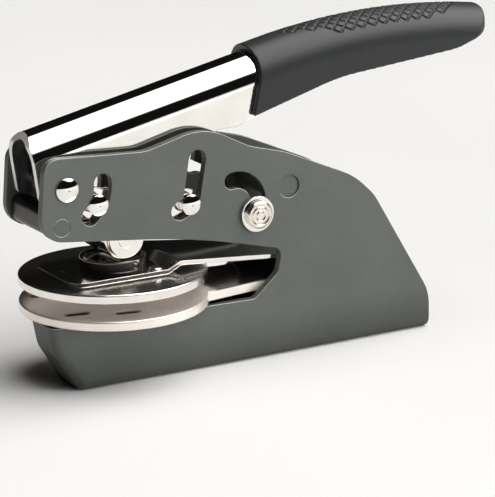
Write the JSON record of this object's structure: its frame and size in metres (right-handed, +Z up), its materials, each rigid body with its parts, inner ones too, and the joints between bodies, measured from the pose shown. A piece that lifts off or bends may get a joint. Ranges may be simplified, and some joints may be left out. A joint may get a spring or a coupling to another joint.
{
  "type": "seal embosser",
  "caption": "Hand-held embossing press: a squeeze handle drives a slotted lever and roller that press a sprung pair of round die plates together.",
  "frame": {"origin": "on the axis of the round die plates, in the plane of the base's underside", "axes": "+X from the die plates towards the grip, +Y towards the far side plate, +Z up"},
  "size_m": [0.1471, 0.052, 0.0926],
  "materials": {
    "frame_paint": "satin grey paint on folded sheet steel",
    "dark_steel": "dark oiled steel",
    "polished_steel": "bright ground steel",
    "chrome": "bright chrome plate",
    "grip_rubber": "matte charcoal moulded rubber, textured on top"
  },
  "bodies": {
    "frame": {"frame_shell": "frame_paint", "front_spacer": "dark_steel", "rear_spacer": "frame_paint", "clip_rest_front": "dark_steel", "clip_rest_rear": "dark_steel", "clip_stop": "dark_steel", "handle_pivot_pin": "chrome", "pivot_washers": "polished_steel", "lower_die_plate": "polished_steel", "clip_spacer": "polished_steel", "clip_rivets": "polished_steel", "return_spring": "dark_steel"},
    "handle": {"handle_channel": "chrome", "handle_grip": "grip_rubber", "lever_pin": "chrome"},
    "lever": {"lever_cheek_near": "polished_steel", "lever_cheek_far": "polished_steel", "guide_pin": "chrome", "cheek_spacer": "polished_steel", "roller_axle": "polished_steel"},
    "roller": {"press_roller": "polished_steel"},
    "upper_die": {"upper_die_plate": "polished_steel", "upper_arm": "chrome", "disc_rivets": "polished_steel", "press_foot": "polished_steel"},
    "lock": {"lock_shaft": "chrome", "lock_button_near": "chrome", "lock_button_far": "chrome", "lock_washers": "chrome"}
  },
  "joints": [
    {"name": "handle_squeeze", "type": "hinge", "parent": "frame", "child": "handle", "pos_m": [-0.0187, 0, 0.0567], "axis": [0, 1, 0], "range_deg": [0, 13], "stiffness_Nm_per_rad": 0.9, "springref_deg": -17.19},
    {"name": "lever_swing", "type": "hinge", "parent": "handle", "child": "lever", "pos_m": [-0.00961, 0, 0.05124], "axis": [0, 1, 0], "range_deg": [-16, 0]},
    {"name": "roller_spin", "type": "hinge", "parent": "lever", "child": "roller", "pos_m": [-0.0003, 0, 0.0399], "axis": [0, 1, 0], "continuous": true},
    {"name": "upper_die_press", "type": "hinge", "parent": "frame", "child": "upper_die", "pos_m": [0.0735, 0, 0.02635], "axis": [0, 1, 0], "range_deg": [-1.1, 0]},
    {"name": "lock_turn", "type": "hinge", "parent": "frame", "child": "lock", "pos_m": [0.0323, 0, 0.0454], "axis": [0, -1, 0], "range_deg": [0, 129]}
  ],
  "couplings": [
    {"joint": "lever_swing", "follows": "handle_squeeze", "ratio": -1.222},
    {"joint": "upper_die_press", "follows": "handle_squeeze", "ratio": -0.078}
  ]
}
